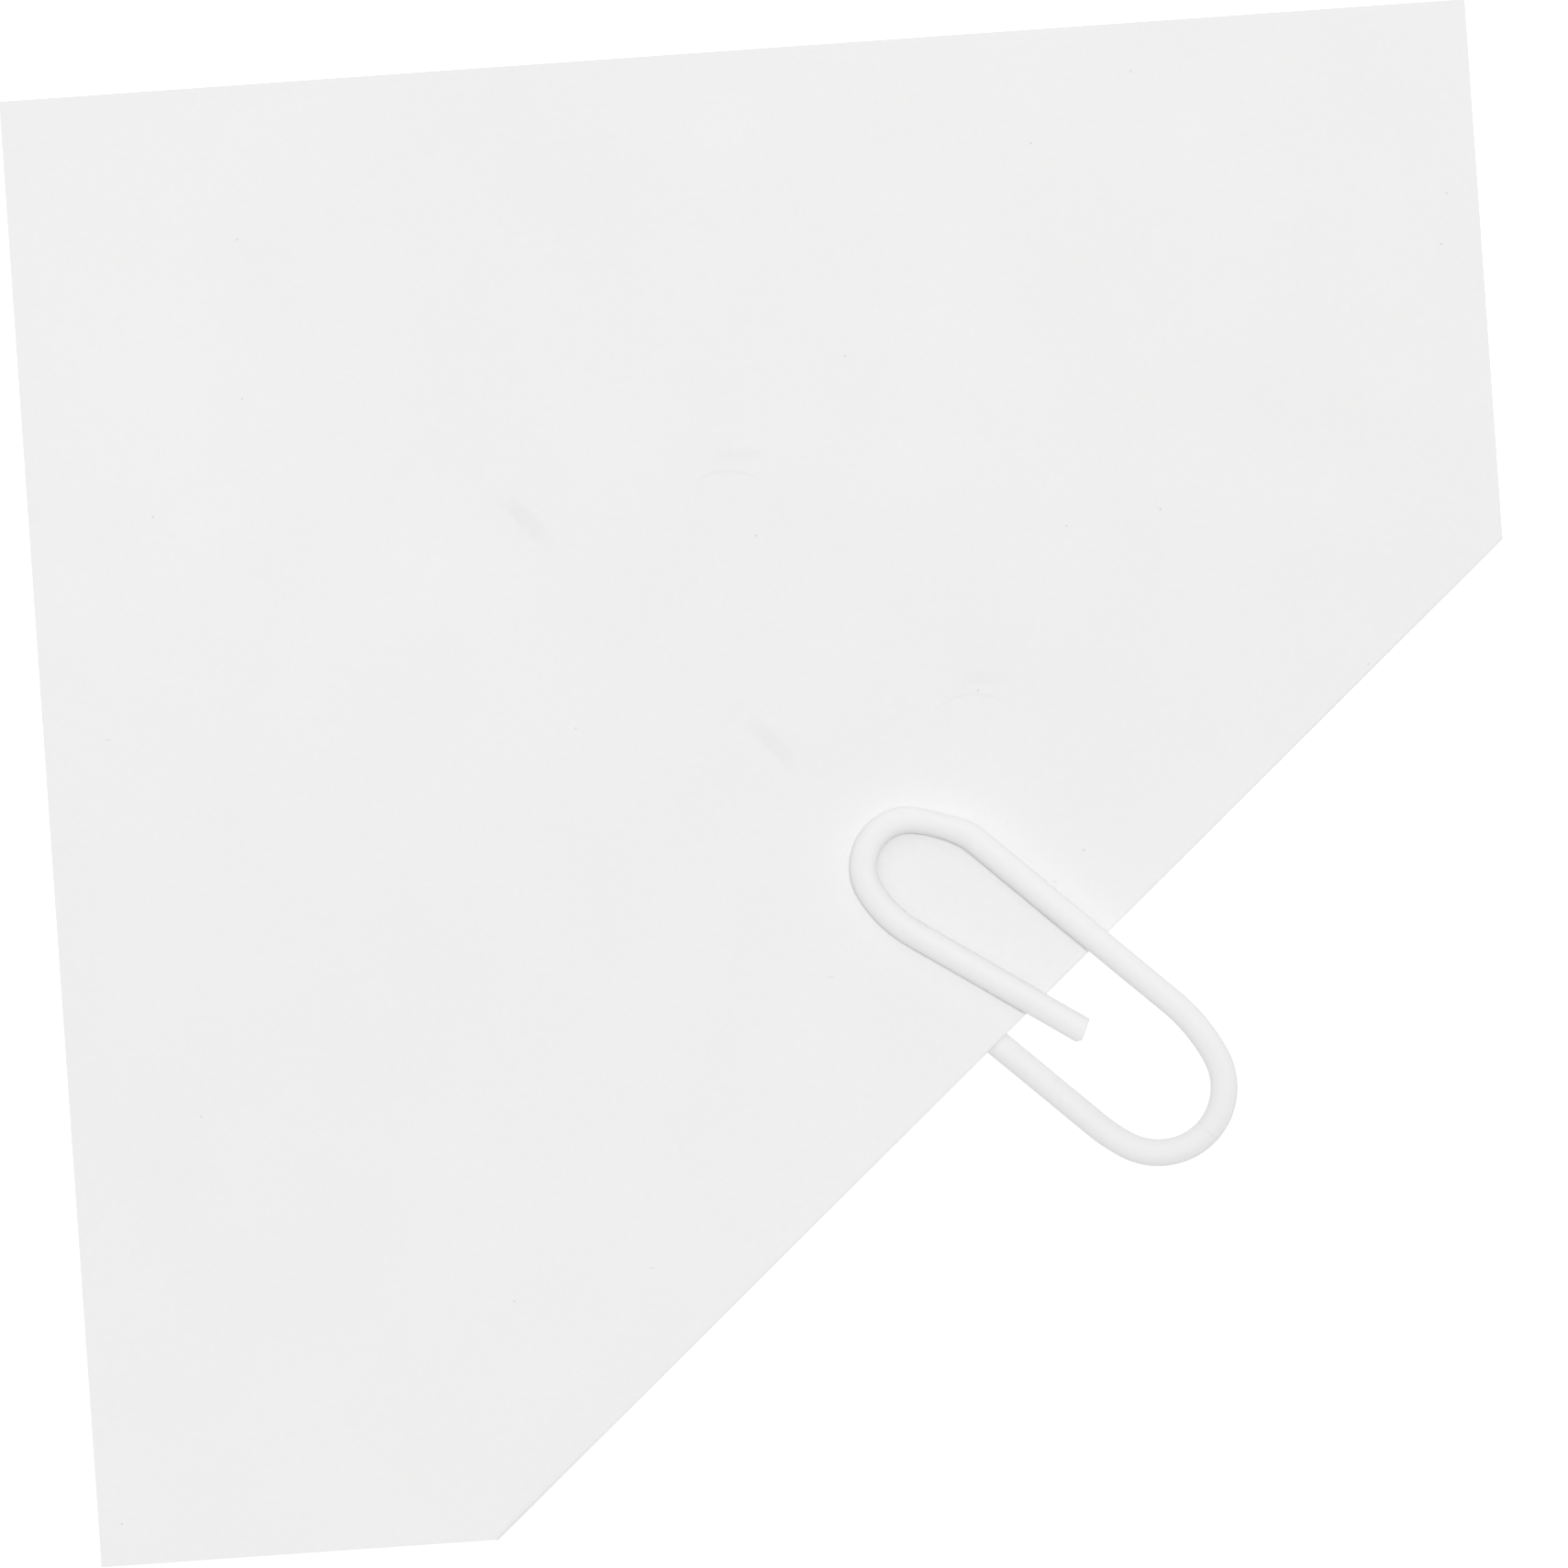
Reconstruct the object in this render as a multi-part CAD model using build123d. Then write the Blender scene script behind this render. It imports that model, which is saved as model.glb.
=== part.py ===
from build123d import *
from math import asin, atan2, cos, degrees, radians, sin
import os

# A square paper note with one corner folded behind it and a plastic-coated wire clip over the
# fold. Millimetres. +X runs along the note's top edge, +Y up its left edge and +Z out of its
# front. The origin is under the centre of the square, level with the lowest side of the clip.

# ---- The note: one square of thin paper
SIDE = 76.0  # edge of the square
PAPER = 0.10  # thickness of the paper
FOLD_DOWN_RIGHT = 28.0  # from the top right corner down to the fold
FOLD_ALONG_BOTTOM = 20.6  # from the bottom left corner along to the fold
FOLD_AIR = 0.04  # between the note's back and the corner folded behind it
FOLD_ROOM = 20.0  # degrees of the fold's half turn left open, which the corner opens into

# ---- The clip's wire, a steel core in a plastic coating
WIRE = 1.40  # over the coating
COATING = 0.20  # wall of the coating
PAPER_AIR = 0.05  # between the wire and the paper on each side

# ---- Where the clip sits on the fold
CLIP_OUT = 11.65  # how far the clip stands out past the fold, along its own axis
CLIP_OFF_MIDDLE = 3.3  # from the middle of the fold towards its right-hand end
CLIP_SKEW = 5.6  # degrees between the clip's axis and square across the fold

# ---- The clip's shape: straight lengths, then each bend as (centreline radius, degrees)
CLIP_LENGTH = 31.0  # overall, to the outside of the rear loop's bend
FRONT_LENGTH = 24.4  # overall, to the outside of the front loop's bend
TONGUE = 10.2  # straight of the front loop that ends in the free tip
TAIL = 12.0  # straight of the rear loop that ends in the other free tip
FRONT_TURN = [(3.5, 68.0), (9.5, 22.0)]  # half of the bend outside the paper, to the front loop
REAR_TURN = [(3.52, 78.0), (9.0, 12.0)]  # the other half, to the rear loop
FRONT_LOOP = [(1.5, 11.5), (7.0, 24.5), (2.42, 125.0), (6.4, 28.6)]  # kink, shoulder, end, easing
REAR_LOOP = [(4.63, 180.0)]

# ---- Levels, from the floor up
REAR_AXIS = WIRE / 2
CORNER_Z = WIRE + PAPER_AIR
FOLD_Z = CORNER_Z + PAPER + FOLD_AIR / 2
NOTE_Z = FOLD_Z + FOLD_AIR / 2
FRONT_AXIS = NOTE_Z + PAPER + PAPER_AIR + WIRE / 2

# ---- The fold: its ends on the note's edges, and frames on its outer edge and across it
FOLD_RADIUS = PAPER + FOLD_AIR / 2
RIGHT_END = Vector(SIDE / 2, SIDE / 2 - FOLD_DOWN_RIGHT)
BOTTOM_END = Vector(FOLD_ALONG_BOTTOM - SIDE / 2, -SIDE / 2)
FOLD_ALONG = (RIGHT_END - BOTTOM_END).normalized()
FOLD_MIDDLE = (RIGHT_END + BOTTOM_END) * 0.5
FOLD_ANGLE = degrees(atan2(FOLD_ALONG.Y, FOLD_ALONG.X))
# x points out of the paper square across the fold, y runs along the fold to the right-hand end
FOLD_FRAME = Location((FOLD_MIDDLE.X, FOLD_MIDDLE.Y, 0), (0, 0, FOLD_ANGLE - 90))

# ---- The clip's frame: x along its axis and out of the paper, y across it, z up, with the
# origin on the axis where the bend outside the paper is widest
CLIP_FRAME = (
    FOLD_FRAME
    * Location((0, CLIP_OFF_MIDDLE, 0), (0, 0, CLIP_SKEW))
    * Location((CLIP_OUT - WIRE / 2, 0, 0))
)


def turned(bends, start=0.0):
    """How far (along, across) some bends carry a wire that leaves at start degrees."""
    along = across = 0.0
    angle = start
    for radius, turn in bends:
        along += radius * (sin(radians(angle + turn)) - sin(radians(angle)))
        across += radius * (cos(radians(angle)) - cos(radians(angle + turn)))
        angle += turn
    return along, across


def run(start, heading, bends, side, before=0.0, after=0.0):
    """Centreline edges in a plane: a straight, bends to one side (1 left, -1 right), a straight."""
    edges = []
    point = Vector(*start)
    way = Vector(1, 0).rotate(Axis.Z, heading)
    if before:
        edges.append(Line(point, point + way * before))
        point = point + way * before
    for radius, turn in bends:
        bend = JernArc(point, way, radius, side * turn)
        edges.append(bend)
        point = bend @ 1
        way = bend % 1
    if after:
        edges.append(Line(point, point + way * after))
    return edges


# The outside bend lies in one plane, tilted about the clip's axis so that it leads from the
# front loop's level to the rear loop's. Its halves meet where the bend is furthest out.
FRONT_ACROSS = turned(FRONT_TURN)[0]
REAR_ACROSS = turned(REAR_TURN)[0]
TILT = degrees(asin((FRONT_AXIS - REAR_AXIS) / (FRONT_ACROSS + REAR_ACROSS)))
SPLIT_Z = REAR_AXIS + REAR_ACROSS * sin(radians(TILT))
TURN_FRAME = Location((0, 0, SPLIT_Z), (TILT, 0, 0))


def loop_reach(bends):
    """How far a loop's bends reach past the end of the straight before them, centreline."""
    reach = angle = 0.0
    for radius, turn in bends:
        turn = min(turn, 90.0 - angle)
        reach += turned([(radius, turn)], angle)[0]
        angle += turn
        if angle >= 90.0:
            break
    return reach


def wire_path(level, side, turn, loop, length, tip):
    """Half of the clip's centreline: half of the outside bend, a leg, a loop and a free end."""
    across, back = turned(turn)
    half_bend = [TURN_FRAME * edge for edge in run((0, 0), side * 90, turn, side)]
    leg = length - WIRE - back - loop_reach(loop)
    leg_start = (-back, side * across * cos(radians(TILT)))
    flat = [Pos(0, 0, level) * edge for edge in run(leg_start, 180, loop, side, leg, tip)]
    return CLIP_FRAME * Wire(half_bend + flat)


def wire_parts(path):
    """The steel core and the plastic coating along one path."""
    across_path = Plane(origin=path @ 0, z_dir=path % 0)
    core = across_path * Circle(WIRE / 2 - COATING)
    skin = across_path * Circle(WIRE / 2) - core
    return sweep(core, path=path), sweep(skin, path=path)


def past_fold(height):
    """A block that covers everything outside the start of the fold's roll."""
    block = Box(SIDE, 2 * SIDE, height, align=(Align.MIN, Align.CENTER, Align.MIN))
    return FOLD_FRAME * Pos(-FOLD_RADIUS, 0, 0) * block


def square(level):
    """The uncut sheet, lying at one level."""
    return Pos(0, 0, level) * Box(SIDE, SIDE, PAPER, align=(Align.CENTER, Align.CENTER, Align.MIN))


def fold_roll():
    """The paper's turn at the fold, from the note's front round towards the folded corner."""
    ring = Circle(FOLD_RADIUS) - Circle(FOLD_AIR / 2)
    start = FOLD_ROOM - 90.0
    sweep_out = 2 * FOLD_RADIUS
    wedge = Polygon(
        (0, 0),
        (sweep_out * cos(radians(start)), sweep_out * sin(radians(start))),
        (sweep_out, -sweep_out),
        (sweep_out, sweep_out),
        (0, sweep_out),
        align=None,
    )
    section = Plane.XZ * (ring & wedge)
    roll = extrude(section, amount=SIDE, both=True)
    placed = FOLD_FRAME * Pos(-FOLD_RADIUS, 0, FOLD_Z) * roll
    bounds = Pos(0, 0, FOLD_Z) * Box(SIDE, SIDE, 4 * FOLD_RADIUS)
    return placed & bounds


def note_sheet():
    """The front of the note: the square up to the fold, and the roll of the fold itself."""
    return square(NOTE_Z) - past_fold(4 * WIRE) + fold_roll()


def folded_corner():
    """The corner of the square, turned over behind the note about the fold."""
    outside = Box(SIDE, 2 * SIDE, 4 * WIRE, align=(Align.MIN, Align.CENTER, Align.MIN))
    corner = square(CORNER_Z) & (FOLD_FRAME * outside)
    fold_plane = Plane(origin=FOLD_FRAME.position, z_dir=FOLD_FRAME.x_axis.direction)
    return mirror(corner, about=fold_plane) - past_fold(4 * WIRE)


def write(node, shape):
    export_step(shape, f"parts/{node}.step")
    print(f"{node}: {shape.volume:.2f} mm3")


def main():
    os.makedirs("parts", exist_ok=True)
    write("note_sheet", note_sheet())
    write("folded_corner", folded_corner())
    front = wire_path(FRONT_AXIS, 1, FRONT_TURN, FRONT_LOOP, FRONT_LENGTH, TONGUE)
    rear = wire_path(REAR_AXIS, -1, REAR_TURN, REAR_LOOP, CLIP_LENGTH, TAIL)
    for half, path in (("front", front), ("rear", rear)):
        core, coating = wire_parts(path)
        write(f"clip_core_{half}", core)
        write(f"clip_coating_{half}", coating)


main()
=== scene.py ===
import math

import bmesh
import bpy
import numpy as np
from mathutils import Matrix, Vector, noise


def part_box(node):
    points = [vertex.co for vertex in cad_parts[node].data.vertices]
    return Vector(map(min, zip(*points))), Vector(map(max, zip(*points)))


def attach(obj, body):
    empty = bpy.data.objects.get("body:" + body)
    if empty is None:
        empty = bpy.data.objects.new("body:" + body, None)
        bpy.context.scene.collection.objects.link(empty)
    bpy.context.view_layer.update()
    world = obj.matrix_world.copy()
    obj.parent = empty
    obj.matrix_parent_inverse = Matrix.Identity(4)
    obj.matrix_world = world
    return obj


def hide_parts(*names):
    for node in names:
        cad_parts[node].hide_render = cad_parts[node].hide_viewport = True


# A square note with one corner folded behind it and a coated wire clip over the fold. Shapes are
# worked out in millimetres in the part's own frame and stored in metres.

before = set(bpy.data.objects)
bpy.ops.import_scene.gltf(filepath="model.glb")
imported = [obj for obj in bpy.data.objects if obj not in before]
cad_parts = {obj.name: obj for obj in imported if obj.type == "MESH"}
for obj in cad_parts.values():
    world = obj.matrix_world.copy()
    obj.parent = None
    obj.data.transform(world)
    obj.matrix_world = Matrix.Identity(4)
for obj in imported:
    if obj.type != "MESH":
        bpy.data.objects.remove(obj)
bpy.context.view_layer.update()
MM = 0.001


# ---------------------------------------------------------------- sizes, the same as the CAD part's
def box_mm(node):
    """A node's lowest and highest corners in millimetres."""
    low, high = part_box(node)
    return low / MM, high / MM


NOTE_HIGH = box_mm("note_sheet")[1]
CORNER_LOW, CORNER_HIGH = box_mm("folded_corner")
HALF_SIDE = NOTE_HIGH.x
FOLD_DOWN_RIGHT = 28.0  # from the top right corner down to the fold
FOLD_ALONG_BOTTOM = 20.6  # from the bottom left corner along to the fold
PAPER = CORNER_HIGH.z - CORNER_LOW.z
NOTE_MID = NOTE_HIGH.z - PAPER / 2
CORNER_MID = CORNER_LOW.z + PAPER / 2
FOLD_MID = (NOTE_MID + CORNER_MID) / 2
FOLD_CENTRELINE = (NOTE_MID - CORNER_MID) / 2  # radius of the paper's middle round the fold
FOLD_RADIUS = FOLD_CENTRELINE + PAPER / 2
FOLD_ARC = math.pi * FOLD_CENTRELINE
# The note carries the first 160 degrees of the half turn and the corner the last. The hairline
# between them is what the corner opens through.
NOTE_END = 160.0 / 180.0 * FOLD_ARC
CORNER_START = 172.5 / 180.0 * FOLD_ARC

# The fold's two ends, the way along it, the way out of the paper across it, and its middle
RIGHT_END = np.array([HALF_SIDE, HALF_SIDE - FOLD_DOWN_RIGHT])
BOTTOM_END = np.array([FOLD_ALONG_BOTTOM - HALF_SIDE, -HALF_SIDE])
ALONG = (RIGHT_END - BOTTOM_END) / np.linalg.norm(RIGHT_END - BOTTOM_END)
OUT = np.array([ALONG[1], -ALONG[0]])
MIDDLE = (RIGHT_END + BOTTOM_END) / 2

WIRE = 1.40  # over the coating
CORE = 1.00  # the steel inside
PAPER_AIR = 0.05  # between the wire and the paper
CLIP_OUT = 11.65  # how far the clip stands out past the fold
CLIP_OFF_MIDDLE = 3.3  # from the fold's middle towards its right-hand end
CLIP_TURN = math.radians(5.6)  # between the clip's axis and square across the fold
CLIP_ALONG = math.cos(CLIP_TURN) * OUT + math.sin(CLIP_TURN) * ALONG
CLIP_ACROSS = math.cos(CLIP_TURN) * ALONG - math.sin(CLIP_TURN) * OUT
CLIP_START = MIDDLE + CLIP_OFF_MIDDLE * ALONG + (CLIP_OUT - WIRE / 2) * CLIP_ALONG
REAR_LEVEL = WIRE / 2
FRONT_LEVEL = NOTE_HIGH.z + PAPER_AIR + WIRE / 2
# Each bend is (centreline radius, degrees)
FRONT_TURN = [(3.5, 68.0), (9.5, 22.0)]
REAR_TURN = [(3.52, 78.0), (9.0, 12.0)]
FRONT_LOOP = [(1.5, 11.5), (7.0, 24.5), (2.42, 125.0), (6.4, 28.6)]
REAR_LOOP = [(4.63, 180.0)]
CLIP_LENGTH, FRONT_LENGTH = 31.0, 24.4  # overall, to the outside of each loop's bend
TONGUE, TAIL = 10.2, 12.0  # the straights at the free ends


def smooth(value, start, end):
    """0 before start, 1 after end and a soft step between, for arrays or numbers."""
    t = np.clip((value - start) / (end - start), 0.0, 1.0)
    return t * t * (3 - 2 * t)


# ---------------------------------------------------------------- mesh helpers
def new_piece(name, points, faces, body, nodes, sharp=()):
    """A mesh from points in millimetres, riding on a body in place of its CAD nodes."""
    mesh = bpy.data.meshes.new(name)
    mesh.from_pydata((np.asarray(points) * MM).tolist(), [], faces)
    mesh.polygons.foreach_set("use_smooth", [True] * len(mesh.polygons))
    if sharp:
        edges = {tuple(sorted(e)) for e in sharp}
        for edge in mesh.edges:
            if tuple(sorted(edge.vertices)) in edges:
                edge.use_edge_sharp = True
    mesh.validate()
    piece = bpy.data.objects.new(name, mesh)
    bpy.context.scene.collection.objects.link(piece)
    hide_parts(*nodes)
    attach(piece, body)
    return piece


# ---------------------------------------------------------------- the paper
HELD_HALF_WIDTH = 7.5  # of the strip that the clip holds flat and slides over
HELD_REACH = 40.0  # how far that strip runs in from the bend outside the paper
DENT_SHIFT = -17.4  # from the first set of dents to the second, along the clip's axis
DROOP = 0.62  # how far the sheet eases down away from the clip
SPRUNG = 0.38  # how much further the folded corner eases down
CORNER_STEP = 0.11  # how far the sheet sinks where no corner lies under it
# Dents pressed by a clip: (along, across, degrees off the clip's axis, half length, half width, depth)
DENTS = ((-29.9, 0.9, 2.0, 2.3, 0.55, 0.042), (-24.0, 10.2, 42.0, 1.5, 0.5, 0.024))


def clip_coordinates(x, y):
    """Along and across the clip's axis, from the middle of the bend outside the paper."""
    dx, dy = x - CLIP_START[0], y - CLIP_START[1]
    along = dx * CLIP_ALONG[0] + dy * CLIP_ALONG[1]
    across = dx * CLIP_ACROSS[0] + dy * CLIP_ACROSS[1]
    return along, across


def off_clip(x, y):
    """Distance from the strip that the clip holds flat and slides over."""
    along, across = clip_coordinates(x, y)
    beyond = np.maximum(-HELD_REACH - along, 0.0)
    beside = np.maximum(np.abs(across) - HELD_HALF_WIDTH, 0.0)
    return np.hypot(beyond, beside)


def inside_fold(x, y):
    """Distance from the fold, towards the middle of the note."""
    return -((x - MIDDLE[0]) * OUT[0] + (y - MIDDLE[1]) * OUT[1])


CORNER_TIP = np.array([HALF_SIDE, -HALF_SIDE])
CORNER_TIP = CORNER_TIP - 2 * ((CORNER_TIP - MIDDLE) @ OUT) * OUT


def past_corner(x, y):
    """Distance outside the folded corner's two free edges; negative where it lies underneath."""
    result = None
    for end in (RIGHT_END, BOTTOM_END):
        edge = (end - CORNER_TIP) / np.linalg.norm(end - CORNER_TIP)
        outward = np.array([edge[1], -edge[0]])
        if (MIDDLE - CORNER_TIP) @ outward > 0:
            outward = -outward
        reach = (x - CORNER_TIP[0]) * outward[0] + (y - CORNER_TIP[1]) * outward[1]
        result = reach if result is None else np.maximum(result, reach)
    return result


def press_marks(x, y):
    """Shallow dents where the clip was pushed on before: a long one and a short band, twice."""
    along, across = clip_coordinates(x, y)
    depth = np.zeros_like(x)
    for shift in (0.0, DENT_SHIFT):
        for u, w, turn, length, width, deep in DENTS:
            c, s = math.cos(math.radians(turn)), math.sin(math.radians(turn))
            a = (along - u - shift) * c + (across - w) * s
            b = (across - w) * c - (along - u - shift) * s
            depth = depth + deep * np.exp(-((a / length) ** 4) - (b / width) ** 2)
    return depth


def ease_off(distance, reach):
    """0 at no distance, near 1 well past the reach."""
    return 1 - np.exp(-((distance / reach) ** 2))


def note_relief(x, y):
    """How far the sheet stands off its flat level: held flat at the clip, easing down away from it."""
    droop = -DROOP * ease_off(off_clip(x, y), 24.0) * ease_off(inside_fold(x, y), 15.0)
    wave = 0.055 * np.sin(x / 9.5 + y / 21.0 + 0.6) + 0.04 * np.sin(y / 7.5 - x / 30.0 + 2.1)
    step = -CORNER_STEP * smooth(past_corner(x, y), -0.6, 4.2)
    loose = smooth(off_clip(x, y), 0.0, 9.0) * smooth(inside_fold(x, y), 0.5, 9.0)
    pressed = press_marks(x, y) * smooth(off_clip(x, y) + inside_fold(x, y), 12.0, 20.0)
    return droop + (wave + step) * loose - pressed


def corner_relief(x, y):
    """The corner follows the note above it, and springs open a little away from the clip."""
    sprung = SPRUNG * ease_off(off_clip(x, y), 14.0) * ease_off(inside_fold(x, y), 11.0)
    return note_relief(x, y) - sprung


def folded(points, out):
    """The flat sheet's points, folded: out is how far each lies past the start of the roll."""
    along = (points - MIDDLE) @ ALONG
    angle = np.clip(out / FOLD_CENTRELINE, 0.0, math.pi)
    past = np.maximum(out - FOLD_ARC, 0.0)
    across = np.where(
        out <= 0.0, out - FOLD_RADIUS, FOLD_CENTRELINE * np.sin(angle) - FOLD_RADIUS - past
    )
    level = FOLD_MID + FOLD_CENTRELINE * np.cos(angle)
    flat = MIDDLE + along[:, None] * ALONG + across[:, None] * OUT
    relief = np.where(
        out <= FOLD_ARC / 2, note_relief(flat[:, 0], flat[:, 1]), corner_relief(flat[:, 0], flat[:, 1])
    )
    return np.column_stack([flat, level + relief])


GRID = 0.55  # spacing of the paper's mesh
ROLL_ROWS = 19  # across the fold's half turn
# Enough to pass the square's corners: into the note, out past the fold and along it
FAR_IN, FAR_OUT, FAR_ALONG = 72.0, 38.0, 58.0


def flat_sheet():
    """The unfolded square as a mesh whose rows run along the fold, closest at the roll."""
    inner = np.arange(-FAR_IN, -0.3, GRID)
    roll = np.linspace(0.0, 1.0, ROLL_ROWS) * FOLD_ARC
    outer = np.arange(FOLD_ARC + 0.3, FAR_OUT, GRID)
    rows = np.concatenate([inner, [-0.12, -0.04], roll, [FOLD_ARC + 0.04, FOLD_ARC + 0.12], outer])
    rows[int(np.argmin(np.abs(rows - NOTE_END)))] = NOTE_END
    rows = np.sort(np.append(rows, CORNER_START))
    columns = np.arange(-FAR_ALONG, FAR_ALONG, GRID)
    bm = bmesh.new()
    verts = []
    for d in rows:
        starts = [MIDDLE + a * ALONG + (d - FOLD_RADIUS) * OUT for a in columns]
        verts.append([bm.verts.new(Vector((*start, 0))) for start in starts])
    for low, high in zip(verts, verts[1:]):
        for i in range(len(columns) - 1):
            bm.faces.new((low[i], high[i], high[i + 1], low[i + 1]))
    for side in ((1, 0, 0), (-1, 0, 0), (0, 1, 0), (0, -1, 0)):
        everything = bm.verts[:] + bm.edges[:] + bm.faces[:]
        bmesh.ops.bisect_plane(
            bm, geom=everything, plane_co=Vector(side) * HALF_SIDE, plane_no=side, clear_outer=True
        )
    return bm


def paper_piece(name, keep_note, body, node):
    """The note's or the corner's share of the folded sheet, given the paper's thickness."""
    bm = flat_sheet()
    away = []
    for face in bm.faces:
        centre = face.calc_center_median()
        out = FOLD_RADIUS - inside_fold(centre.x, centre.y)
        cut_off = out > NOTE_END if keep_note else out < CORNER_START
        if cut_off:
            away.append(face)
    bmesh.ops.delete(bm, geom=away, context="FACES")
    flat = np.array([v.co[:2] for v in bm.verts])
    out = (flat - MIDDLE) @ OUT + FOLD_RADIUS
    for vert, co in zip(bm.verts, folded(flat, out)):
        vert.co = co
    bm.normal_update()
    bm.verts.index_update()
    middle = np.array([v.co for v in bm.verts])
    if np.mean([v.normal.z for v in bm.verts]) * (1 if keep_note else -1) < 0:
        bmesh.ops.reverse_faces(bm, faces=bm.faces[:])
    angle = np.clip(out / FOLD_CENTRELINE, 0.0, math.pi)
    normals = np.column_stack([np.sin(angle)[:, None] * OUT, np.cos(angle)])
    count = len(middle)
    faces = [[v.index for v in f.verts] for f in bm.faces]
    rim = []
    for edge in bm.edges:
        if edge.is_boundary:
            loop = edge.link_loops[0]
            rim.append((loop.vert.index, loop.link_loop_next.vert.index))
    bm.free()
    points = np.vstack([middle + normals * PAPER / 2, middle - normals * PAPER / 2])
    back = [[i + count for i in reversed(f)] for f in faces]
    sides = [[b, a, a + count, b + count] for a, b in rim]
    sharp = rim + [(a + count, b + count) for a, b in rim]
    return new_piece(name, points, faces + back + sides, body, [node], sharp)


# ---------------------------------------------------------------- the clip
BEND_STEP = 0.22  # spacing of the points round a bend
STRAIGHT_STEP = 0.45


def bend_run(start, heading, bends, side, before=0.0, after=0.0):
    """Points and directions of a straight, some bends to one side and a straight, in a plane."""
    points, ways = [], []
    at = np.array(start, float)
    angle = math.radians(heading)

    def straight(length):
        nonlocal at
        way = np.array([math.cos(angle), math.sin(angle)])
        count = max(2, int(length / STRAIGHT_STEP))
        for i in range(count):
            points.append(at + way * length * i / count)
            ways.append(way)
        at = at + way * length

    if before:
        straight(before)
    for radius, turn in bends:
        total = math.radians(turn)
        normal = side * np.array([-math.sin(angle), math.cos(angle)])
        centre = at + radius * normal
        count = max(3, int(radius * total / BEND_STEP), int(turn / 5))
        for i in range(count):
            a = angle + side * total * i / count
            points.append(centre - side * radius * np.array([-math.sin(a), math.cos(a)]))
            ways.append(np.array([math.cos(a), math.sin(a)]))
        angle += side * total
        at = centre - side * radius * np.array([-math.sin(angle), math.cos(angle)])
    if after:
        straight(after)
    points.append(at)
    ways.append(np.array([math.cos(angle), math.sin(angle)]))
    return np.array(points), np.array(ways)


def carried(bends, start=0.0, limit=1000.0):
    """How far (along, across) some bends carry a wire that leaves at start degrees."""
    along = across = 0.0
    angle = start
    for radius, turn in bends:
        turn = min(turn, limit - angle)
        a, b = math.radians(angle), math.radians(angle + turn)
        along += radius * (math.sin(b) - math.sin(a))
        across += radius * (math.cos(a) - math.cos(b))
        angle += turn
        if angle >= limit:
            break
    return along, across


BEND_TILT = math.asin(
    (FRONT_LEVEL - REAR_LEVEL) / (carried(FRONT_TURN)[0] + carried(REAR_TURN)[0])
)
SPLIT_LEVEL = REAR_LEVEL + carried(REAR_TURN)[0] * math.sin(BEND_TILT)


def wire_line(level, side, turn, loop, length, tip):
    """Half of the clip's centreline as points and directions in the part's frame."""
    across, back = carried(turn)
    bend, bend_ways = bend_run((0, 0), side * 90, turn, side)
    c, s = math.cos(BEND_TILT), math.sin(BEND_TILT)
    tilted = np.column_stack([bend[:, 0], bend[:, 1] * c, SPLIT_LEVEL + bend[:, 1] * s])
    tilted_ways = np.column_stack([bend_ways[:, 0], bend_ways[:, 1] * c, bend_ways[:, 1] * s])
    leg = length - WIRE - back - carried(loop, 0.0, 90.0)[0]
    flat, flat_ways = bend_run((-back, side * across * c), 180, loop, side, leg, tip)
    levels = np.full(len(flat), level)
    local = np.vstack([tilted[:-1], np.column_stack([flat, levels])])
    ways = np.vstack([tilted_ways[:-1], np.column_stack([flat_ways, np.zeros(len(flat))])])
    return local, ways


def to_part(local, offset=True):
    """Points, or without the offset directions, from the clip's frame to the part's."""
    xy = local[:, :1] * CLIP_ALONG + local[:, 1:2] * CLIP_ACROSS
    if offset:
        xy = xy + CLIP_START
    return np.column_stack([xy, local[:, 2]])


def uneven(point, size, seed):
    """Slow unevenness from -1 to 1 or so at a point in millimetres."""
    return noise.noise(Vector(point) / size + Vector((seed, 7.3, 1.7)))


SEGMENTS = 32  # round the wire
SEAM = 0.003  # each half of the clip starts this far from the middle of the outside bend
SHOULDER = 20.0  # from the tongue's end back to the middle of the front loop's shoulder
SHOULDER_REACH = 1.15  # how far along the wire the shoulder's flattening is felt
CUT_REACH = 1.2  # how far back from the end the askew cut is felt
CORNER_WEAR_FROM = 0.46  # from the wire's middle out to where its worn corner starts
WAVINESS = ((0.010, 2.6, 3.0), (0.006, 0.9, 9.0))  # of the coating: (share of its radius, size, seed)


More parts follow.
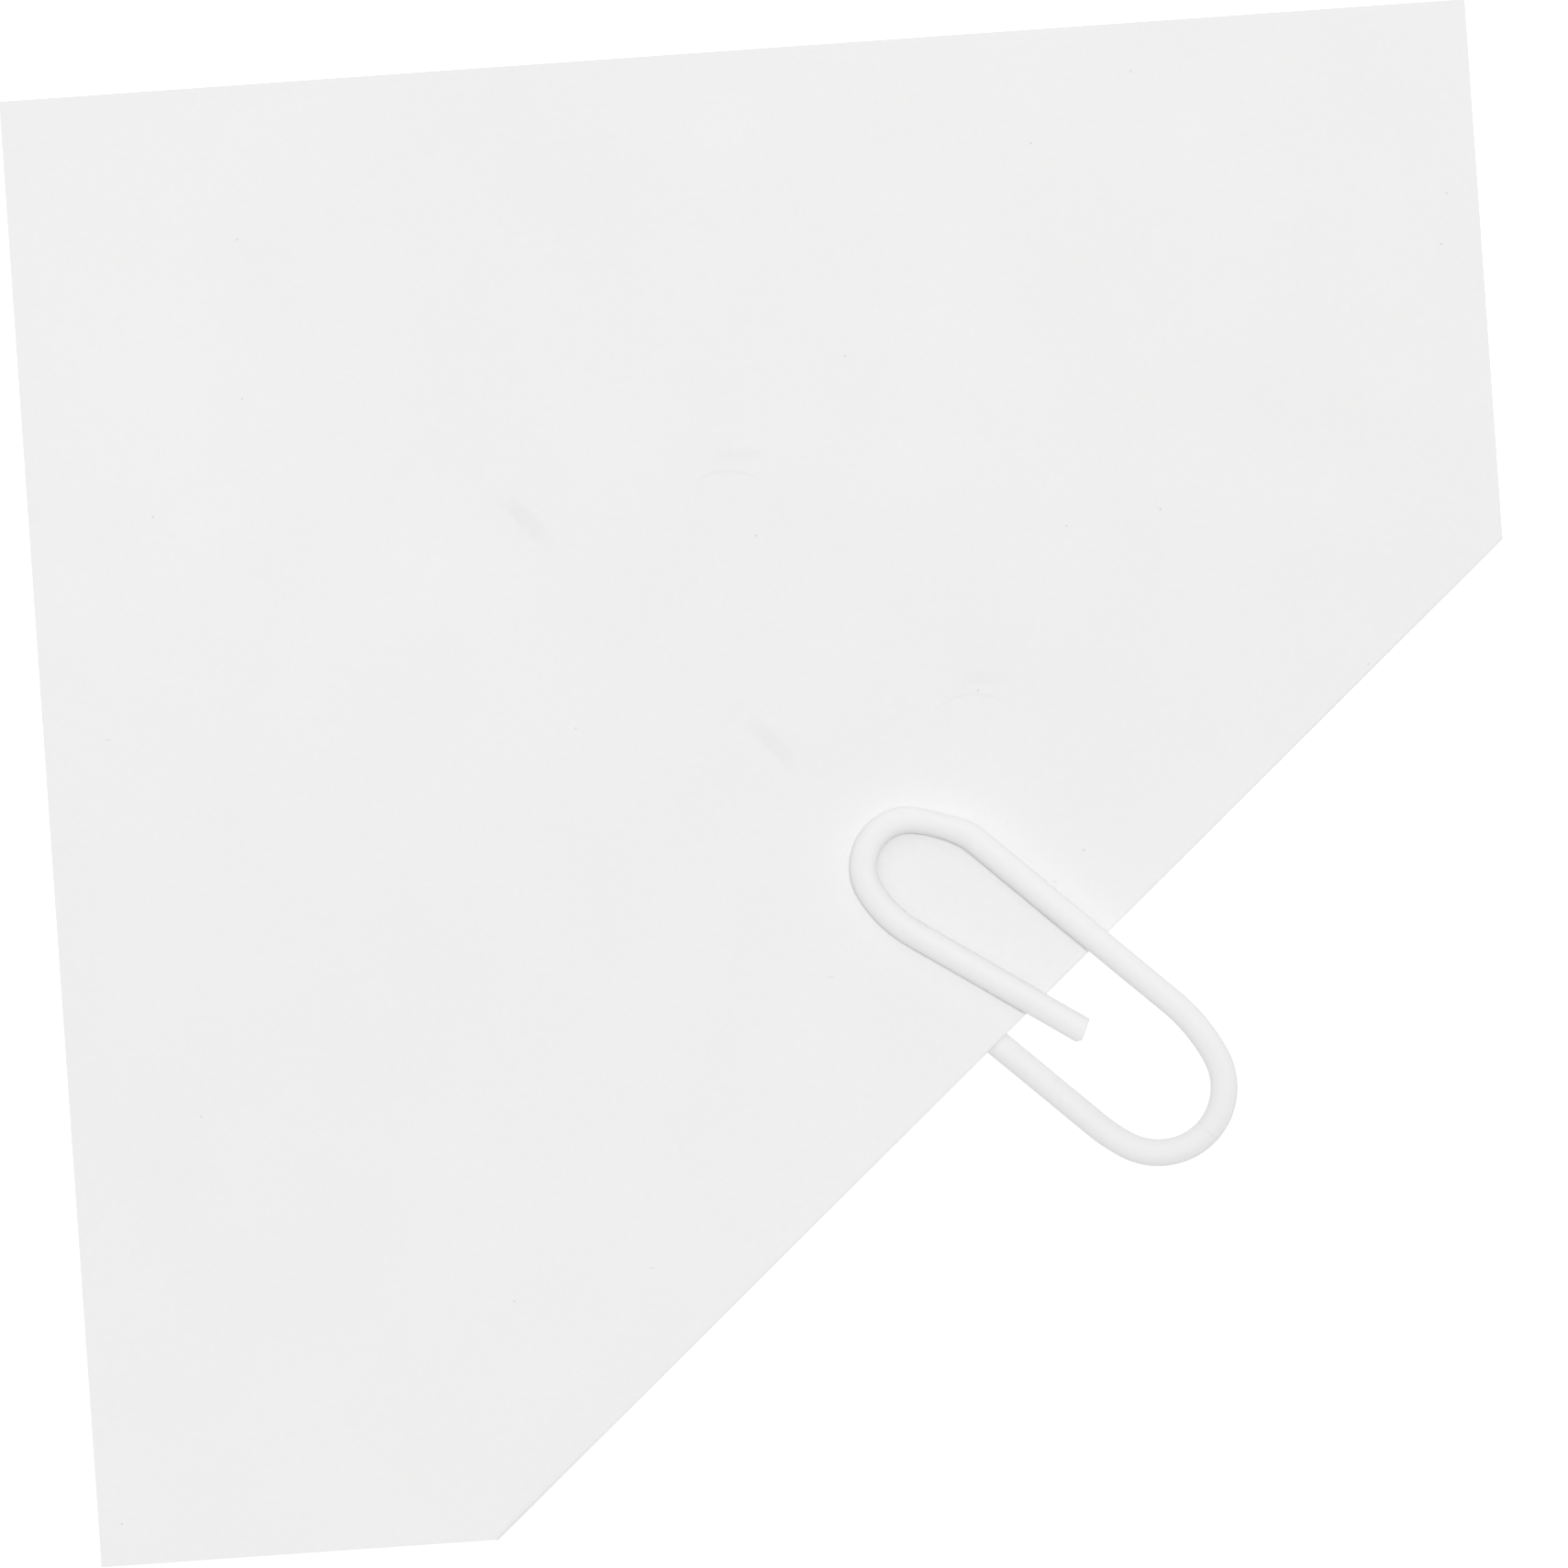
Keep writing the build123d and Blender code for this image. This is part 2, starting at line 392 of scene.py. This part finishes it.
def tube(line, ways, profile, slant, worn, pressed):
    """Rings along a line, joined into a closed skin; profile lists (station, radius, is it uneven?)."""
    lengths = np.concatenate([[0], np.cumsum(np.linalg.norm(np.diff(line, axis=0), axis=1))])
    total = lengths[-1]
    angles = np.linspace(0, 2 * math.pi, SEGMENTS, endpoint=False)
    points, rings = [], []

    def ring(station, radius, bump):
        at = np.array([np.interp(station, lengths, line[:, i]) for i in range(3)])
        way = np.array([np.interp(station, lengths, ways[:, i]) for i in range(3)])
        way /= np.linalg.norm(way)
        side = np.cross([0, 0, 1], way)
        side /= np.linalg.norm(side)
        up = np.cross(way, side)
        cut = smooth(station, total - CUT_REACH, total)
        dent = pressed * math.exp(-(((total - station - SHOULDER) / SHOULDER_REACH) ** 2))
        first = len(points)
        for angle in angles:
            spoke = math.cos(angle) * up + math.sin(angle) * side
            r = radius
            if bump:
                r -= dent * max(0.0, -math.sin(angle)) ** 1.5
                scale = 1.0
                for share, size, seed in WAVINESS:
                    scale += share * uneven(at + spoke * radius, size, seed)
                r *= scale
            aside = r * math.sin(angle)
            shift = cut * (slant * aside - worn * max(0.0, -aside - CORNER_WEAR_FROM))
            points.append(at + spoke * r + way * shift)
        rings.append(first)

    for station, radius, bump in profile(lengths, total):
        ring(station, radius, bump)
    faces = []
    for a, b in zip(rings, rings[1:] + rings[:1]):
        for i in range(SEGMENTS):
            j = (i + 1) % SEGMENTS
            faces.append([a + i, a + j, b + j, b + i])
    return points, faces, rings


EDGE_ROUND = 0.09  # of the coating at its cut end
LIP = 0.03  # the coating's inner edge, and how far the core is sunk behind the cut
CORE_AIR = 0.004  # between the core and the coating's bore
LIFT_REACH = 9.0  # how far back from a lifted end its lift is felt


def skin_profile(lengths, total):
    """Outside of the coating to the cut, round its edge, and back along the bore."""
    stations = [max(s, SEAM) for s in lengths if s < total - 0.16]
    rows = [(s, WIRE / 2, True) for s in stations]
    for k in range(7):
        a = math.radians(15 * k)
        station = total - EDGE_ROUND + EDGE_ROUND * math.sin(a)
        rows.append((station, WIRE / 2 - EDGE_ROUND + EDGE_ROUND * math.cos(a), True))
    rows.append((total - 0.005, CORE / 2 + LIP, False))
    rows.append((total - LIP, CORE / 2, False))
    rows += [(s, CORE / 2, False) for s in reversed(stations)]
    return rows


def core_profile(lengths, total):
    """The core from the seam to its own cut, a little behind the coating's."""
    stations = [max(s, SEAM) for s in lengths if s < total - 0.1]
    rows = [(s, CORE / 2 - CORE_AIR, False) for s in stations]
    rows.append((total - 0.07, CORE / 2 - CORE_AIR, False))
    rows.append((total - 0.035, CORE / 2 - 0.03, False))
    rows.append((total - LIP, CORE / 2 - 0.07, False))
    return rows


def ring_edges(*rings):
    """The edges round each ring, as pairs of points."""
    return [(r + i, r + (i + 1) % SEGMENTS) for r in rings for i in range(SEGMENTS)]


def wire_half(half, path, cut, pressed=0.0, lift=0.0):
    """Coating and core of half the clip, along the path that wire_line takes.

    The free end is cut by (degrees off square, wear of its corner) and rises by lift. The front
    loop's shoulder is flattened by pressed.
    """
    local, ways = wire_line(*path)
    from_tip = np.linalg.norm(local[:, :2] - local[-1, :2], axis=1)
    on_tip = np.arange(len(local)) > len(local) // 2
    local[:, 2] += np.where(on_tip, lift * (1 - smooth(from_tip, 0.0, LIFT_REACH)), 0.0)
    line, ways = to_part(local), to_part(ways, offset=False)
    body = f"clip_{half}"
    slant, worn = math.tan(math.radians(cut[0])), cut[1]
    points, faces, rings = tube(line, ways, skin_profile, slant, worn, pressed)
    sharp = ring_edges(rings[0], rings[-1])
    skin = new_piece(
        f"clip_{half}_skin", points, faces, body, [f"clip_coating_{half}"], sharp
    )
    points, faces, rings = tube(line, ways, core_profile, slant, worn, pressed)
    # The core is solid: flat ends instead of the faces that would join its last ring to its first
    faces = faces[:-SEGMENTS]
    faces.append([rings[0] + i for i in reversed(range(SEGMENTS))])
    faces.append([rings[-1] + i for i in range(SEGMENTS)])
    sharp = ring_edges(rings[0], rings[-1])
    core = new_piece(
        f"clip_{half}_core", points, faces, body, [f"clip_core_{half}"], sharp
    )
    return skin, core


# ---------------------------------------------------------------- materials
class Nodes:
    """A short way to write the nodes of a tree."""

    def __init__(self, tree, place):
        self.tree = tree
        self.place = self.add("ShaderNodeTexCoord").outputs[place]

    def add(self, kind, inputs=None, **settings):
        node = self.tree.nodes.new(kind)
        for key, value in settings.items():
            setattr(node, key, value)
        for key, value in (inputs or {}).items():
            self.put(node.inputs[key], value)
        return node

    def put(self, socket, value):
        if isinstance(value, bpy.types.NodeSocket):
            self.tree.links.new(value, socket)
        else:
            socket.default_value = value

    def math(self, operation, a, b=0.0, c=0.0):
        return self.add("ShaderNodeMath", {0: a, 1: b, 2: c}, operation=operation).outputs[0]

    def vector(self, operation, a, b=(0.0, 0.0, 0.0)):
        return self.add("ShaderNodeVectorMath", {0: a, 1: b}, operation=operation).outputs

    def range(self, value, low, high, to_low, to_high, **settings):
        inputs = {"Value": value, "From Min": low, "From Max": high, "To Min": to_low, "To Max": to_high}
        return self.add("ShaderNodeMapRange", inputs, **settings).outputs["Result"]


class Material(Nodes):
    """A material's nodes, placed in the object's own metres."""

    def __init__(self, name):
        self.material = bpy.data.materials.new(name)
        self.material.use_nodes = True
        super().__init__(self.material.node_tree, "Object")
        self.shader = self.tree.nodes["Principled BSDF"]

    def set(self, name, value):
        self.put(self.shader.inputs[name], value)

    def noise(self, size_mm, detail=2.0, rough=0.5):
        inputs = {"Vector": self.place, "Scale": 1000.0 / size_mm, "Detail": detail, "Roughness": rough}
        return self.add("ShaderNodeTexNoise", inputs).outputs["Fac"]

    def tint(self, colour, factor):
        """A fixed colour multiplied by a grey factor."""
        inputs = {0: colour, "Scale": factor}
        return self.add("ShaderNodeVectorMath", inputs, operation="SCALE").outputs[0]

    def bump(self, height, distance, strength):
        inputs = {"Height": height, "Strength": strength, "Distance": distance}
        self.set("Normal", self.add("ShaderNodeBump", inputs).outputs["Normal"])

    def cells(self, place, size_mm):
        """Scattered points, about one to each square of the size given, on the paper's plane."""
        inputs = {"Vector": place, "Scale": 1000.0 / size_mm}
        return self.add("ShaderNodeTexVoronoi", inputs, voronoi_dimensions="2D", feature="F1").outputs

    def chosen(self, cells, channel, above):
        """1 in the few cells whose random value is above a limit, 0 in the others."""
        value = self.add("ShaderNodeSeparateColor", {0: cells["Color"]}).outputs[channel]
        return self.math("GREATER_THAN", value, above)

    def along(self, way):
        """Distance in metres along a direction in the paper's plane."""
        return self.vector("DOT_PRODUCT", self.place, (*way, 0.0))["Value"]

    def off_line(self, x, y, degrees):
        """Distance in metres from a line through a point in millimetres, square to the angle."""
        way = (math.cos(math.radians(degrees)), math.sin(math.radians(degrees)))
        away = self.math("SUBTRACT", self.along(way), (x * way[0] + y * way[1]) * MM)
        return self.math("ABSOLUTE", away)

    def mark(self, x, y, degrees, half_length, half_width, depth):
        """A faint soft-edged streak of painted shade."""
        long, wide = half_length * MM, half_width * MM
        along = self.range(self.off_line(x, y, degrees), 0.4 * long, long, 1.0, 0.0)
        across = self.range(self.off_line(x, y, degrees + 90.0), 0.45 * wide, wide, 1.0, 0.0)
        return self.math("MULTIPLY", self.math("MULTIPLY", along, across), depth)

    def shade_arch(self, x, y, radius, half_width, depth):
        """A faint thin arch of painted shade along the dent of a wire's bend, only on its half towards
        +y.
        """
        away = self.vector("SUBTRACT", self.place, (x * MM, y * MM, 0.0))[0]
        flat = self.vector("MULTIPLY", away, (1, 1, 0))[0]
        reach = self.vector("LENGTH", flat)["Value"]
        off = self.math("ABSOLUTE", self.math("SUBTRACT", reach, radius * MM))
        line = self.range(off, 0.04 * MM, 0.11 * MM, 1.0, 0.0)
        side = self.range(self.off_line(x, y, -4.0), 0.6 * half_width * MM, half_width * MM, 1.0, 0.0)
        above = self.add("ShaderNodeSeparateXYZ", {0: away}).outputs["Y"]
        top = self.range(above, 0.0, 0.2 * MM, 0.0, depth)
        return self.math("MULTIPLY", self.math("MULTIPLY", line, side), top)

    def stretched(self, factor):
        """The object's own coordinates, squeezed along a slanted line."""
        slant = (0, 0, math.radians(63.0))
        inputs = {"Vector": self.place, "Rotation": slant, "Scale": (factor, 1.6, 1.0)}
        return self.add("ShaderNodeMapping", inputs).outputs["Vector"]

    def crease_shade_and_wear(self):
        """Painted shade and patchy, rubbed fibres within a hair's width of the fold, most at its lower
        end.
        """
        inside = self.math("SUBTRACT", float(MIDDLE @ OUT) * MM, self.along(OUT))
        line = self.range(inside, 0.10 * MM, 0.34 * MM, 1.0, 0.0)
        start = float(BOTTOM_END @ ALONG) * MM
        low_end = self.range(self.along(ALONG), start + 1.0 * MM, start + 7.5 * MM, 1.0, 0.12)
        patchy = self.range(self.noise(1.7, 3.0, 0.6), 0.35, 0.6, 0.35, 1.0)
        deep = self.math("MULTIPLY", patchy, 0.07)
        return self.math("MULTIPLY", self.math("MULTIPLY", line, low_end), deep)

    def finish(self, *pieces):
        for piece in pieces:
            piece.data.materials.clear()
            piece.data.materials.append(self.material)


WHITE = (0.900, 0.900, 0.898)  # of the paper and of the coating
STEEL = (0.56, 0.55, 0.53)
DENT_SHADE_CENTRES = ((-12.3, 14.5), (-0.4, 2.1))  # middle of the long streak of painted shade over the dent that an earlier clip left, twice


def paper_material():
    """Matte white with cloudiness, grain, a few specks and hairs, painted shade along the fold, and
    painted shade over the dents of an earlier clip.
    """
    m = Material("uncoated_paper")
    cloud = m.range(m.noise(7.0, 3.0, 0.55), 0.3, 0.7, -0.006, 0.006)
    broad = m.range(m.noise(38.0, 1.0, 0.4), 0.3, 0.7, -0.006, 0.006)
    grain = m.range(m.noise(0.32, 2.0, 0.6), 0.25, 0.75, -0.008, 0.008)
    tone = m.math("ADD", m.math("ADD", cloud, broad), grain)
    fleck = m.cells(m.place, 5.2)
    dot = m.range(fleck["Distance"], 0.006, 0.016, 0.16, 0.0)
    specks_and_shade = m.math("MULTIPLY", m.chosen(fleck, 0, 0.88), dot)
    hair = m.cells(m.stretched(0.35), 6.8)
    line = m.range(hair["Distance"], 0.004, 0.012, 0.10, 0.0)
    specks_and_shade = m.math("ADD", specks_and_shade, m.math("MULTIPLY", m.chosen(hair, 1, 0.90), line))
    # painted shade along the fold, patchy with rubbed fibres
    specks_and_shade = m.math("ADD", specks_and_shade, m.crease_shade_and_wear())
    # Painted shade over the dents that an earlier clip pressed: a long streak, a short band and an arch,
    # twice
    for x, y in DENT_SHADE_CENTRES:
        dent_shade_streak = m.mark(x, y, -49.0, 1.9, 0.55, 0.034)
        band = m.mark(x + 11.2, y + 2.6, -4.0, 1.5, 0.45, 0.020)
        dent_shade_arch = m.shade_arch(x + 10.4, y - 1.2, 3.0, 1.8, 0.026)
        for painted_dent_shade in (dent_shade_streak, band, dent_shade_arch):
            specks_and_shade = m.math("ADD", specks_and_shade, painted_dent_shade)
    # the darkening holds real specks and hairs, and painted shade along the fold and over the dents
    factor = m.math("SUBTRACT", m.math("ADD", tone, 1.0), specks_and_shade)
    m.set("Base Color", m.tint(WHITE, factor))
    m.set("Roughness", 0.82)
    m.set("Specular IOR Level", 0.25)
    fibre = m.math("ADD", m.noise(0.22, 3.0, 0.6), m.math("MULTIPLY", m.noise(1.3, 2.0, 0.5), 0.8))
    m.bump(fibre, 0.006 * MM, 0.8)
    return m


def coating_material():
    """Satin white plastic, slightly mottled and grimy."""
    m = Material("soft_white_coating")
    tone = m.range(m.noise(3.2, 2.0, 0.5), 0.3, 0.7, -0.008, 0.008)
    grime = m.range(m.noise(0.7, 3.0, 0.6), 0.62, 0.8, 0.0, 0.03)
    factor = m.math("SUBTRACT", m.math("ADD", tone, 1.0), grime)
    m.set("Base Color", m.tint(WHITE, factor))
    m.set("Roughness", m.range(m.noise(1.1, 2.0, 0.5), 0.3, 0.7, 0.55, 0.66))
    m.set("Specular IOR Level", 0.15)
    skin = m.math("ADD", m.noise(0.45, 3.0, 0.55), m.math("MULTIPLY", m.noise(0.1, 2.0, 0.5), 0.25))
    m.bump(skin, 0.008 * MM, 0.7)
    return m


def steel_material():
    """Bare cut steel."""
    m = Material("drawn_steel")
    m.set("Metallic", 1.0)
    tone = m.range(m.noise(0.5, 3.0, 0.6), 0.3, 0.7, 0.88, 1.08)
    m.set("Base Color", m.tint(STEEL, tone))
    m.set("Roughness", m.range(m.noise(0.25, 2.0, 0.5), 0.3, 0.7, 0.28, 0.5))
    m.bump(m.noise(0.12, 3.0, 0.6), 0.01 * MM, 0.8)
    return m


# ---------------------------------------------------------------- the object
note = paper_piece("note_paper", True, "note", "note_sheet")
corner = paper_piece("corner_paper", False, "corner", "folded_corner")
FRONT_PATH = (FRONT_LEVEL, 1, FRONT_TURN, FRONT_LOOP, FRONT_LENGTH, TONGUE)
REAR_PATH = (REAR_LEVEL, -1, REAR_TURN, REAR_LOOP, CLIP_LENGTH, TAIL)
front_skin, front_core = wire_half("front", FRONT_PATH, (-10.0, 1.2), pressed=0.13, lift=0.12)
rear_skin, rear_core = wire_half("rear", REAR_PATH, (-8.0, 0.3))
paper_material().finish(note, corner)
coating_material().finish(front_skin, rear_skin)
steel_material().finish(front_core, rear_core)


# ---------------------------------------------------------------- floor, light and camera
FLOOR = -8.0  # low enough for the corner and the rear loop to open over it
FLOOR_REACH = 3.0  # metres from its middle to each side


def floor():
    """A white surface that reads as pure white; the world lights the object from under it."""
    mesh = bpy.data.meshes.new("floor")
    corners = ((-1, -1), (1, -1), (1, 1), (-1, 1))
    points = [(x * FLOOR_REACH, y * FLOOR_REACH, FLOOR * MM) for x, y in corners]
    mesh.from_pydata(points, [], [(0, 1, 2, 3)])
    plane = bpy.data.objects.new("floor", mesh)
    bpy.context.scene.collection.objects.link(plane)
    material = bpy.data.materials.new("white_floor")
    material.use_nodes = True
    shader = material.node_tree.nodes["Principled BSDF"]
    shader.inputs["Base Color"].default_value = (0.9, 0.9, 0.9, 1)
    shader.inputs["Roughness"].default_value = 0.9
    shader.inputs["Specular IOR Level"].default_value = 0.0
    shader.inputs["Emission Color"].default_value = (1, 1, 1, 1)
    shader.inputs["Emission Strength"].default_value = 0.5
    mesh.materials.append(material)
    plane.visible_diffuse = False
    plane.visible_glossy = False


# The picture's own right and up in the part's frame
VIEW_ROLL = math.radians(-4.004)
RIGHT = Vector((math.cos(VIEW_ROLL), math.sin(VIEW_ROLL), 0))
UP = Vector((-math.sin(VIEW_ROLL), math.cos(VIEW_ROLL), 0))


def light(name, right, up, height, size, level):
    """A soft disc aimed at the note that lights it with a radiance of level times its albedo."""
    data = bpy.data.lights.new(name, "AREA")
    data.shape = "DISK"
    data.size = size
    lamp = bpy.data.objects.new(name, data)
    lamp.location = RIGHT * right + UP * up + Vector((0, 0, height))
    distance = lamp.location.length
    data.energy = level * (math.pi * distance) ** 2 * distance / height
    lamp.rotation_euler = lamp.location.to_track_quat("Z", "Y").to_euler()
    bpy.context.scene.collection.objects.link(lamp)


BASE_LEVEL = 0.500  # the tent's walls and roof
UNDER_LEVEL = 0.95  # what the white surface sends back up
BAND_LEVEL = 0.62  # added in the band above the horizon
BAND_SLANT = 0.24  # how much brighter the band is at the upper right, and darker opposite


def studio():
    """A light tent with a brighter band low all round, and two lamps.

    The key lamp is high, a little to the upper right. The fill is weak, low and to the upper left.
    """
    world = bpy.data.worlds.new("studio")
    world.use_nodes = True
    n = Nodes(world.node_tree, "Generated")
    height = n.add("ShaderNodeSeparateXYZ", {0: n.place}).outputs["Z"]
    band = n.range(height, 0.12, 0.30, 1.0, 0.0, interpolation_type="SMOOTHSTEP")
    above = n.range(height, -0.03, 0.0, 0.0, 1.0)
    base = n.math("MULTIPLY_ADD", above, BASE_LEVEL - UNDER_LEVEL, UNDER_LEVEL)
    side = n.vector("DOT_PRODUCT", n.place, (RIGHT + UP).normalized() * BAND_SLANT)["Value"]
    level = n.math("ADD", side, BAND_LEVEL)
    strength = n.math("MULTIPLY_ADD", level, n.math("MULTIPLY", band, above), base)
    background = n.tree.nodes["Background"]
    n.put(background.inputs["Strength"], strength)
    n.put(background.inputs["Color"], (1, 1, 1, 1))
    bpy.context.scene.world = world
    light("key", right=0.20, up=0.22, height=3.5, size=0.5, level=0.334)
    light("fill", right=-0.10, up=0.17, height=0.45, size=0.60, level=0.135)
    bpy.context.scene.view_settings.view_transform = "Standard"


CAMERA_HEIGHT = 2000.0  # above the note
SEEN = 81.074  # width of the picture at the note
OFF_RIGHT, OFF_DOWN = 0.045, 0.043  # from the note's middle to the picture's


def camera():
    """Straight down from far away, turned so that the note's top edge rises to the right."""
    data = bpy.data.cameras.new("camera")
    data.sensor_width = 36.0
    data.lens = data.sensor_width * CAMERA_HEIGHT / SEEN
    data.clip_start, data.clip_end = 0.05, 20.0
    eye = bpy.data.objects.new("camera", data)
    centre = RIGHT * OFF_RIGHT - UP * OFF_DOWN
    eye.location = (centre + Vector((0, 0, NOTE_HIGH.z + CAMERA_HEIGHT))) * MM
    eye.rotation_euler = (0, 0, VIEW_ROLL)
    bpy.context.scene.collection.objects.link(eye)
    bpy.context.scene.camera = eye


floor()
studio()
camera()
